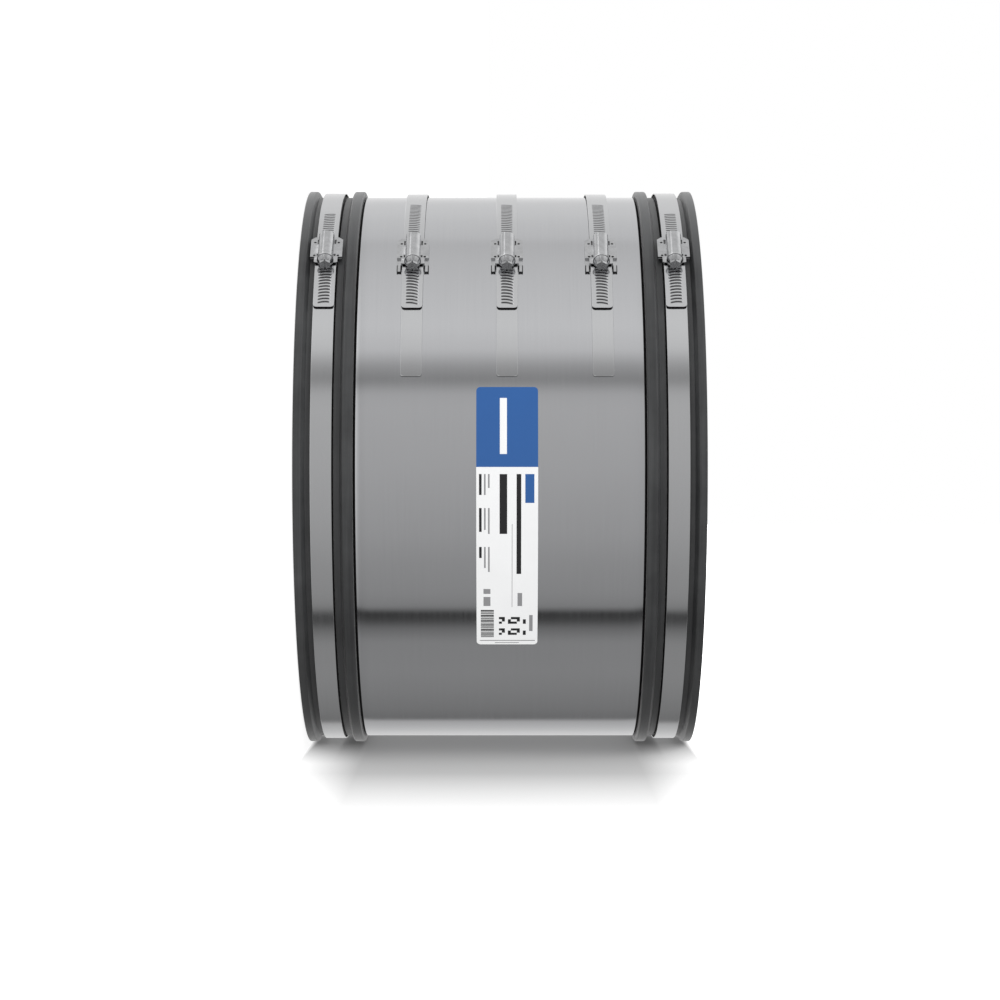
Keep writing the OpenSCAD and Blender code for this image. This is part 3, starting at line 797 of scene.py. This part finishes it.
def leg_steel(name, s, finish):
    """The housings' steel with painted shade along both edges of each leg of a saddle, where
    the leg stands off the sheet."""
    skin = pressed_steel(name, finish.housing, finish.housing_roughness)
    tree = skin.node_tree
    shader = next(n for n in tree.nodes if n.type == "BSDF_PRINCIPLED")
    plain = shader.inputs["Base Color"].links[0].from_socket
    off = sums(tree, "ABSOLUTE", put(tree, "ShaderNodeAttribute",
                                     attribute_name="off_middle").outputs["Fac"])
    from_leg = sums(tree, "ABSOLUTE", sums(tree, "SUBTRACT", off, s.leg_middle))
    ahead = put(tree, "ShaderNodeAttribute", attribute_name="ahead").outputs["Fac"]
    # Painted shade: near-black lines along the leg's edges, from the leg's start onwards
    painted_edge_shade = spread(tree, from_leg, 0.0, 0.93, s.leg_half - 0.0009, s.leg_half - 0.0005)
    painted_edge_shade = sums(tree, "MULTIPLY", painted_edge_shade, spread(tree, ahead, 0.0, 1.0, s.leg_from,
                                               s.leg_from + 0.001))
    dark = tuple(0.05 * c for c in finish.housing)
    tree.links.new(two_colours(tree, painted_edge_shade, plain, dark), shader.inputs["Base Color"])
    rough = shader.inputs["Roughness"].links[0].from_socket
    tree.links.new(sums(tree, "MAXIMUM", rough, sums(tree, "MULTIPLY", painted_edge_shade, 0.6)),
                   shader.inputs["Roughness"])
    return skin


def weld_marks(piece, s, clamp_at, z):
    """Gives the second material to the faces in the dimples of the spot welds. A face's place
    along the clamp is its centre's distance from the clamp's middle plane, towards the
    screw's head: x times the cosine minus y times the sine of the clamp's angle. A dimple's
    floor and wall lie deeper than the plate's outside, which is level with the highest
    corner of the faces near the dimple."""
    centres = np.empty(3 * len(piece.data.polygons))
    piece.data.polygons.foreach_get("center", centres)
    centres = centres.reshape(-1, 3)
    along = centres[:, 0] * math.cos(clamp_at) - centres[:, 1] * math.sin(clamp_at)
    aside = np.abs(centres[:, 2] - z) - s.spot_side
    radial = np.hypot(centres[:, 0], centres[:, 1])
    marked = np.zeros(len(centres), dtype=bool)
    for y in (-s.spot_back, s.spot_front):
        near = np.hypot(along - y, aside) < 1.1 * s.spot_radius
        if not near.any():
            raise ValueError("no face of %s lies near a spot weld" % piece.name)
        floor = np.median(radial[near & (np.hypot(along - y, aside) < 0.4 * s.spot_radius)])
        marked |= near & (np.abs(radial - floor) < 0.0002)
    piece.data.polygons.foreach_set("material_index", marked.astype(np.int32))


class COUPLING_OT_housings(bpy.types.Operator):
    """Pressed housing and saddle of each clamp"""
    bl_idname = "coupling.housings"
    bl_label = "Housings"

    def execute(self, context):
        s, finish = context.scene.coupling_housing, context.scene.coupling_finish
        skin = pressed_steel("Pressed steel", finish.housing, finish.housing_roughness)
        mark = pressed_steel("Weld mark", tuple(0.16 * c for c in finish.housing),
                             finish.housing_roughness + 0.2)
        clamp_at = context.scene.coupling_band.clamp_at
        legs = leg_steel("Saddle steel", s, finish)
        for clamp in CLAMPS:
            for part in ("_housing", "_saddle"):
                skins = [skin, mark] if part == "_housing" else [legs]
                piece = finished_copy(clamp + part, clamp + part + "_skin", skins,
                                      s.edge_round, s.sharp)
                if part == "_housing":
                    weld_marks(piece, s, clamp_at, middle_of(clamp + "_housing"))
                else:
                    keep_places(piece, clamp_at, middle_of(clamp + "_housing"))
                place(piece, body_of_clamp(clamp), "housing_steel", clamp + part)
        return {"FINISHED"}


def axis_of_screw(clamp, clamp_at):
    """A point in the middle of the screw's head, the direction of its axis towards the head
    and the direction away from the bore. The axis is level, square to the clamp's angle, and
    the head's end is the highest corner along it."""
    points = corners_of(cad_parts[clamp + "_screw"].data)
    ahead = np.array([math.cos(clamp_at), -math.sin(clamp_at), 0.0])
    outward = np.array([-math.sin(clamp_at), -math.cos(clamp_at), 0.0])
    along, away = points @ ahead, points @ outward
    middle = (away.min() + away.max()) / 2 * outward + along.max() * ahead
    middle[2] = (points[:, 2].min() + points[:, 2].max()) / 2
    return middle, ahead, outward


def collar_cap(name, clamp, s, clamp_at, materials):
    """The coned cap between a screw's head and the mouth of its housing: rings round the
    screw's axis, each at its own distance behind the head's end and with its own radius."""
    middle, ahead, outward = axis_of_screw(clamp, clamp_at)
    shares = np.array([0.0, 0.2, 3.9, 4.1, 4.1, 0.6, 0.0]) / 4.1
    radius = np.array([s.cap_front - 0.00015, s.cap_front, s.cap_back, s.cap_back - 0.0001,
                       s.cap_inside, s.cap_inside, s.cap_inside + 0.0002])
    behind = s.head_length - s.cap_length + shares * s.cap_length
    turn = np.linspace(0, 2 * np.pi, 48, endpoint=False)
    round_axis = np.cos(turn)[:, None] * outward + np.sin(turn)[:, None] * (0, 0, 1)
    points = (middle - behind[None, :, None] * ahead
              + radius[None, :, None] * round_axis[:, None, :])
    faces = grid_quads(len(turn), len(radius), True, True).tolist()
    return new_piece(name, points, faces, materials, sharp=50.0)


class COUPLING_OT_screws(bpy.types.Operator):
    """Worm screw with a slotted hexagon head and a coned cap in each housing"""
    bl_idname = "coupling.screws"
    bl_label = "Screws"

    def execute(self, context):
        s, finish = context.scene.coupling_housing, context.scene.coupling_finish
        skin = pressed_steel("Turned steel", finish.screw, finish.housing_roughness)
        clamp_at = context.scene.coupling_band.clamp_at
        for clamp in CLAMPS:
            piece = finished_copy(clamp + "_screw", clamp + "_screw_skin", [skin],
                                  s.screw_round, s.sharp)
            place(piece, clamp + "_worm", "screw_steel", clamp + "_screw")
            cap = collar_cap(clamp + "_cap", clamp, s, clamp_at, [skin])
            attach(cap, clamp + "_worm")
        return {"FINISHED"}


def print_fields():
    """Printed fields of the label in millimetres: from and to across it, measured from its
    lower end's side, from and to along it, measured from its top, and 1 blue, 2 dark ink,
    3 grey or 0 bare film. A later field lies over an earlier one."""
    fields = [(0, 44.8, 0, 58.8, 1), (17.1, 22.2, 8.3, 49.4, 0), (35.5, 42.1, 63.9, 84.9, 1),
              (16.9, 22.4, 63.9, 107.8, 2), (29.2, 32.6, 63.9, 138.6, 2),
              (25.8, 26.2, 100.4, 165.8, 3),
              (2.0, 3.9, 63.9, 79.1, 2), (5.6, 6.8, 63.9, 79.1, 3), (8.5, 9.7, 63.9, 74.0, 3),
              (2.0, 3.9, 88.6, 106.3, 2), (5.6, 6.8, 88.6, 104.8, 3),
              (8.5, 9.7, 88.6, 107.8, 3), (2.0, 3.9, 117.6, 126.1, 2),
              (5.6, 6.8, 117.6, 133.9, 3), (8.5, 9.7, 117.6, 137.0, 3),
              (5.1, 10.2, 150.7, 154.8, 3), (5.1, 10.2, 157.3, 165.0, 3),
              (30.0, 33.4, 154.0, 165.0, 3), (38.6, 41.2, 172.8, 187.3, 3),
              (2.3, 43.0, 195.8, 196.6, 3), (13.4, 31.2, 198.0, 198.7, 3)]
    stripes = [(3.1, 12.7, 168.4 + 1.4 * i, 169.2 + 1.4 * i + 0.3 * (i % 3 == 0), 2)
               for i in range(18)]
    checks = [(16.4 + 2.2 * i, 18.6 + 2.2 * i, 174.5 + 2.05 * j, 176.55 + 2.05 * j, 2)
              for i in range(9) for j in range(9) if (i * i + 3 * j + i * j) % 5 < 2]
    return np.array(fields + stripes + checks)


class COUPLING_OT_label(bpy.types.Operator):
    """Printed label on the shear band, as plain fields of colour"""
    bl_idname = "coupling.label"
    bl_label = "Label"

    def execute(self, context):
        s = context.scene.coupling_print
        z, width = middle_of("label"), width_of("label")
        fields = print_fields()
        fields[:, :4] /= 1000
        outer = s.radius + s.thickness

        def cut_lines(low, high, edges, step, margin):
            """Field edges and even steps between them, at least a little apart."""
            lines = np.unique(np.round(np.concatenate(
                [edges, np.arange(low, high, step), [low, high]]), 6))
            lines = lines[(lines >= low) & (lines <= high)]
            apart = np.concatenate([[True], np.diff(lines) > margin])
            return lines[apart | np.isin(lines, np.round(edges, 6))]

        quarter = s.corner * (1 - np.cos(np.radians(np.linspace(0, 90, 9))))
        along = cut_lines(0.0, s.label_length, np.concatenate(
            [fields[:, 2:4].ravel(), quarter, s.label_length - quarter]), 0.003, 0.0002)
        inside = fields[:, 0:2].ravel()
        inside = inside[(inside > s.corner * 0.4) & (inside < width - s.corner * 0.4)]
        across = cut_lines(s.corner, width - s.corner, inside[(inside > s.corner) & (
            inside < width - s.corner)], 0.004, 0.0002)
        side = np.sort(inside[inside <= s.corner])
        other = np.sort(inside[inside >= width - s.corner])
        across = np.unique(np.concatenate([side, across, other]))
        # Half width at each station, and how far a column near the edge gives way to it
        d = np.minimum(np.minimum(along, s.label_length - along), s.corner)
        half = width / 2 - s.corner + np.sqrt(np.maximum(0.0, s.corner ** 2 - (s.corner - d) ** 2))
        columns = np.concatenate([[0.0], across, [width]]) - width / 2
        room = np.linspace(0, 1, len(columns))[None, :] * 1e-5
        rows = np.clip(columns[None, :], -half[:, None] + room, half[:, None] - (1e-5 - room))
        rows[:, 0], rows[:, -1] = -half, half
        at = s.top - along / outer
        top = around(outer, at[:, None], z + rows)
        under = around(s.radius, at[:, None], z + rows)
        n, m = rows.shape
        quads = grid_quads(n, m)
        middle_along = np.repeat((along[:-1] + along[1:]) / 2, m - 1)
        middle_across = np.tile((columns[:-1] + columns[1:]) / 2 + width / 2, n - 1)
        ink = np.zeros(len(quads), dtype=int)
        for a, b, c, e, value in fields:
            hit = (middle_across > a) & (middle_across < b) & (middle_along > c) & (
                middle_along < e)
            ink[hit] = int(value)
        rim = np.concatenate([np.arange(m), np.arange(2 * m - 1, n * m, m),
                              np.arange(n * m - 2, (n - 1) * m - 1, -1),
                              np.arange((n - 2) * m, 0, -m)])
        following = np.roll(rim, -1)
        walls = np.stack([rim, following, following + n * m, rim + n * m], axis=1)
        faces = np.concatenate([quads, quads[:, ::-1] + n * m, walls])
        inks = np.concatenate([ink, np.zeros(len(quads) + len(walls), dtype=int)])
        materials = [printed_film("Bare film", s.film), printed_film("Blue print", s.blue),
                     printed_film("Dark print", s.ink), printed_film("Grey print", s.grey)]
        piece = new_piece("label_film", np.concatenate([top.reshape(-1, 3),
                                                        under.reshape(-1, 3)]),
                          faces.tolist(), materials, inks)
        place(piece, "coupling", "label", "label")
        return {"FINISHED"}


def studio_light():
    """Light that the steel mirrors, by the angle it comes from: 0 is the camera's side and
    the angles grow towards -X, which is the top of the picture. A wide soft light hangs
    over the top, a dimmer wall stands in front, a dark gap and a dim wall lie below."""
    return [(-180, 0.72), (-156, 0.73), (-146, 0.63), (-137, 0.53), (-134.5, 0.20),
            (-124, 0.26), (-108, 0.31), (-96, 0.34), (-78, 0.335), (-71, 0.22), (-67, 0.08),
            (-62.6, 0.03), (-61, 0.32), (-54, 0.37), (-40, 0.41), (-28, 0.47), (0, 0.555),
            (24, 0.60), (30, 0.58), (36, 0.33), (42, 0.47), (49, 0.77), (60, 0.85),
            (84, 0.78), (107, 0.70), (113, 0.78), (135, 0.84), (150, 0.81), (162, 0.86),
            (172, 0.93), (180, 0.88)]


def light_along_bore():
    """What the studio's light is multiplied by, by how far it comes along the bore: -1 is
    from straight below and 1 from straight above. The rolled surfaces mirror only what lies
    near 0. The rest is seen in the round edges of small pieces: strips of light, and the
    dark between them."""
    return [(-1.0, 0.8), (-0.8, 1.0), (-0.67, 1.3), (-0.56, 0.9), (-0.42, 0.8), (-0.37, 1.1),
            (-0.32, 1.9), (-0.26, 1.9), (-0.22, 1.1), (-0.17, 0.92), (-0.08, 1.0), (0.11, 1.0),
            (0.25, 0.95), (0.42, 1.0), (0.58, 1.25), (0.7, 1.35), (0.85, 1.0), (1.0, 1.0)]


def ramp_of(tree, value, stops, low, high):
    """A ramp whose stops are given as a place between low and high and a grey level."""
    ramp = put(tree, "ShaderNodeValToRGB", {0: value})
    elements = ramp.color_ramp.elements
    for i, (at, level) in enumerate(stops):
        stop = elements[i] if i < 2 else elements.new(1.0)
        stop.position = (at - low) / (high - low)
        stop.color = (level, level, level, 1.0)
    return ramp.outputs[0]


def world_of(scene, plain):
    """Pure white where the camera sees it, the studio's lights where steel mirrors them,
    and a plain even light for everything else."""
    world = bpy.data.worlds.new("Studio")
    scene.world = world
    world.use_nodes = True
    tree = world.node_tree
    tree.nodes.clear()
    where = put(tree, "ShaderNodeTexCoord").outputs["Generated"]
    split = put(tree, "ShaderNodeSeparateXYZ", {0: where})
    turn = sums(tree, "ARCTAN2", sums(tree, "MULTIPLY", split.outputs[0], -1.0),
                sums(tree, "MULTIPLY", split.outputs[1], -1.0))
    place_in_turn = sums(tree, "MULTIPLY_ADD", turn, 0.5 / math.pi, 0.5)
    round_bore = ramp_of(tree, place_in_turn, studio_light(), -180, 180)
    along_bore = ramp_of(tree, sums(tree, "MULTIPLY_ADD", split.outputs[2], 0.5, 0.5),
                         light_along_bore(), -1, 1)
    mirrored = put(tree, "ShaderNodeBackground", {
        0: round_bore, 1: put(tree, "ShaderNodeRGBToBW", {0: along_bore}).outputs[0]})
    even = put(tree, "ShaderNodeBackground", {0: (1.0, 1.0, 1.0, 1.0), 1: plain})
    white = put(tree, "ShaderNodeBackground", {0: (1.0, 1.0, 1.0, 1.0), 1: 1.0})
    path = put(tree, "ShaderNodeLightPath")
    mirror = sums(tree, "MAXIMUM", path.outputs["Is Glossy Ray"],
                  path.outputs["Is Transmission Ray"])
    unseen = put(tree, "ShaderNodeMixShader", {0: mirror, 1: even.outputs[0],
                                               2: mirrored.outputs[0]})
    seen = put(tree, "ShaderNodeMixShader", {0: path.outputs["Is Camera Ray"],
                                             1: unseen.outputs[0], 2: white.outputs[0]})
    out = put(tree, "ShaderNodeOutputWorld")
    tree.links.new(seen.outputs[0], out.inputs[0])


class COUPLING_OT_studio(bpy.types.Operator):
    """White studio with a floor, a board beside the coupling, a soft lamp and the camera"""
    bl_idname = "coupling.studio"
    bl_label = "Studio"

    def side_board(self, scene):
        """The white board that the coupling's side touches in the photograph. It only takes the
        coupling's shadow, partly real and partly painted by its glow, which is lower near the
        coupling: nothing mirrors it, and from behind it is clear."""
        material, tree, shader = new_material("White board")
        tree.nodes.remove(shader)
        lit = put(tree, "ShaderNodeBsdfDiffuse", {0: (0.5, 0.5, 0.5, 1.0)})
        seen = put(tree, "ShaderNodeLightPath").outputs["Is Camera Ray"]
        # Painted shadow: the glow is low near the line of contact, and rises off it and past the
        # ends
        low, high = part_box("rubber_sleeve")
        half = (high.z - low.z) / 2
        where = put(tree, "ShaderNodeSeparateXYZ", {
            0: put(tree, "ShaderNodeTexCoord").outputs["Object"]})
        aside = sums(tree, "ABSOLUTE", where.outputs[1])
        off_line = spread(tree, aside, 0.0, 0.756, 0.23, 0.60)
        off_middle = sums(tree, "ABSOLUTE", sums(
            tree, "SUBTRACT", where.outputs[2], (low.z + high.z) / 2))
        towards_ends = sums(tree, "MULTIPLY",
                            spread(tree, off_middle, 0.0, 0.62, half - 0.047, half),
                            spread(tree, aside, 0.0, 1.0, 0.02, 0.17))
        past_ends = put(tree, "ShaderNodeMapRange", {
            0: off_middle, 1: half - 0.0055, 2: half + 0.003, 3: 0.0, 4: 0.9},
            interpolation_type="SMOOTHSTEP")
        # Painted shadow of the inner rims, which reach further out than the sheet: less glow there
        from_rim = sums(tree, "ABSOLUTE", sums(tree, "SUBTRACT", off_middle, half - 0.034))
        rim_shade = sums(tree, "MULTIPLY", spread(tree, from_rim, 0.06, 0.0, 0.007, 0.010),
                         spread(tree, aside, 1.0, 0.0, 0.02, 0.16))
        beyond = sums(tree, "MAXIMUM", past_ends.outputs[0], towards_ends)
        level = sums(tree, "ADD", sums(tree, "SUBTRACT", 0.13, rim_shade),
                     sums(tree, "ADD", off_line, beyond))
        # The board glows where the camera sees it, and a lower glow is painted shadow
        glow = put(tree, "ShaderNodeEmission", {0: (1.0, 1.0, 1.0, 1.0),
                                                1: sums(tree, "MULTIPLY", seen, level)})
        both = put(tree, "ShaderNodeAddShader", {0: lit.outputs[0], 1: glow.outputs[0]})
        clear = put(tree, "ShaderNodeBsdfTransparent")
        behind = put(tree, "ShaderNodeNewGeometry").outputs["Backfacing"]
        mix = put(tree, "ShaderNodeMixShader", {0: behind, 1: both.outputs[0],
                                                2: clear.outputs[0]})
        tree.links.new(mix.outputs[0], tree.nodes["Material Output"].inputs[0])
        side = high.x + 0.0006
        mesh = bpy.data.meshes.new("side_board")
        mesh.from_pydata([(side, -1.9, 0.0), (side, 8.0, 0.0), (side, 8.0, 8.0),
                          (side, -1.9, 8.0)], [], [(0, 3, 2, 1)])
        mesh.materials.append(material)
        board = bpy.data.objects.new("side_board", mesh)
        for kind in ("diffuse", "glossy", "transmission", "volume_scatter", "shadow"):
            setattr(board, "visible_" + kind, False)
        scene.collection.objects.link(board)

    def execute(self, context):
        scene, s = context.scene, context.scene.coupling_studio
        scene.view_settings.view_transform = "Standard"
        world_of(scene, s.plain_light)

        material, tree, shader = new_material("White floor")
        tree.nodes.remove(shader)
        lit = put(tree, "ShaderNodeBsdfDiffuse", {0: (0.35, 0.35, 0.35, 1.0)})
        path = put(tree, "ShaderNodeLightPath")
        seen = sums(tree, "MAXIMUM", path.outputs["Is Camera Ray"], sums(
            tree, "MAXIMUM", path.outputs["Is Glossy Ray"], path.outputs["Is Transmission Ray"]))
        glow = put(tree, "ShaderNodeEmission", {0: (1.0, 1.0, 1.0, 1.0),
                                                1: sums(tree, "MULTIPLY", seen, 0.76)})
        both = put(tree, "ShaderNodeAddShader", {0: lit.outputs[0], 1: glow.outputs[0]})
        tree.links.new(both.outputs[0], tree.nodes["Material Output"].inputs[0])
        side = s.floor_size / 2
        mesh = bpy.data.meshes.new("floor")
        mesh.from_pydata([(-side, -side, -0.0004), (side, -side, -0.0004),
                          (side, side, -0.0004), (-side, side, -0.0004)], [], [(0, 1, 2, 3)])
        mesh.materials.append(material)
        floor = bpy.data.objects.new("floor", mesh)
        # Steel mirrors the studio's lights where the floor would hide them
        floor.visible_glossy = False
        # The board beside the coupling takes its light from all round
        floor.visible_diffuse = False
        scene.collection.objects.link(floor)

        self.side_board(scene)

        lamp = bpy.data.lights.new("soft_lamp", "AREA")
        lamp.shape = "DISK"
        lamp.size = 1.6
        lamp.energy = s.lamp_power
        light = bpy.data.objects.new("soft_lamp", lamp)
        light.location = (-1.5, -1.3, 2.0)
        aim = Vector((0.0, 0.0, 0.12)) - light.location
        light.rotation_euler = aim.to_track_quat("-Z", "Y").to_euler()
        light.visible_glossy = False
        scene.collection.objects.link(light)

        lens = bpy.data.cameras.new("camera")
        lens.lens = s.lens
        lens.sensor_width = 36.0
        lens.shift_y = s.shift
        lens.clip_end = 200.0
        camera = bpy.data.objects.new("camera", lens)
        # The picture's right is +Z, its top is -X, and the camera looks along +Y
        turned = Matrix(((0.0, -1.0, 0.0), (0.0, 0.0, -1.0), (1.0, 0.0, 0.0))).to_4x4()
        low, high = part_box("rubber_sleeve")
        camera.matrix_world = Matrix.Translation(
            (0.0, -s.distance, (low.z + high.z) / 2)) @ turned
        scene.collection.objects.link(camera)
        scene.camera = camera
        return {"FINISHED"}


class COUPLING_PT_panel(bpy.types.Panel):
    """Lists the pieces of the coupling and the sizes and colours that shape them"""
    bl_idname = "COUPLING_PT_panel"
    bl_label = "Wide pipe coupling"
    bl_space_type = "VIEW_3D"
    bl_region_type = "UI"
    bl_category = "Coupling"

    def draw(self, context):
        for kind, key, operators in PARTS:
            box = self.layout.box()
            for operator in operators:
                box.operator(operator.bl_idname)
            settings = getattr(context.scene, key)
            for name in kind.__annotations__:
                box.prop(settings, name)


PARTS = (
    (SleeveSettings, "coupling_sleeve", (COUPLING_OT_sleeve,)),
    (BandSettings, "coupling_band",
     (COUPLING_OT_shear_band, COUPLING_OT_end_bands, COUPLING_OT_straps)),
    (HousingSettings, "coupling_housing", (COUPLING_OT_housings, COUPLING_OT_screws)),
    (PrintSettings, "coupling_print", (COUPLING_OT_label,)),
    (FinishSettings, "coupling_finish", ()),
    (StudioSettings, "coupling_studio", (COUPLING_OT_studio,)),
)


def register():
    for kind, key, operators in PARTS:
        bpy.utils.register_class(kind)
        setattr(bpy.types.Scene, key, bpy.props.PointerProperty(type=kind))
        for operator in operators:
            bpy.utils.register_class(operator)
    bpy.utils.register_class(COUPLING_PT_panel)


def unregister():
    bpy.utils.unregister_class(COUPLING_PT_panel)
    for kind, key, operators in reversed(PARTS):
        for operator in reversed(operators):
            bpy.utils.unregister_class(operator)
        delattr(bpy.types.Scene, key)
        bpy.utils.unregister_class(kind)


def main():
    register()
    bpy.ops.coupling.sleeve()
    bpy.ops.coupling.shear_band()
    bpy.ops.coupling.end_bands()
    bpy.ops.coupling.straps()
    bpy.ops.coupling.housings()
    bpy.ops.coupling.screws()
    bpy.ops.coupling.label()
    bpy.ops.coupling.studio()


if __name__ == "__main__":
    main()
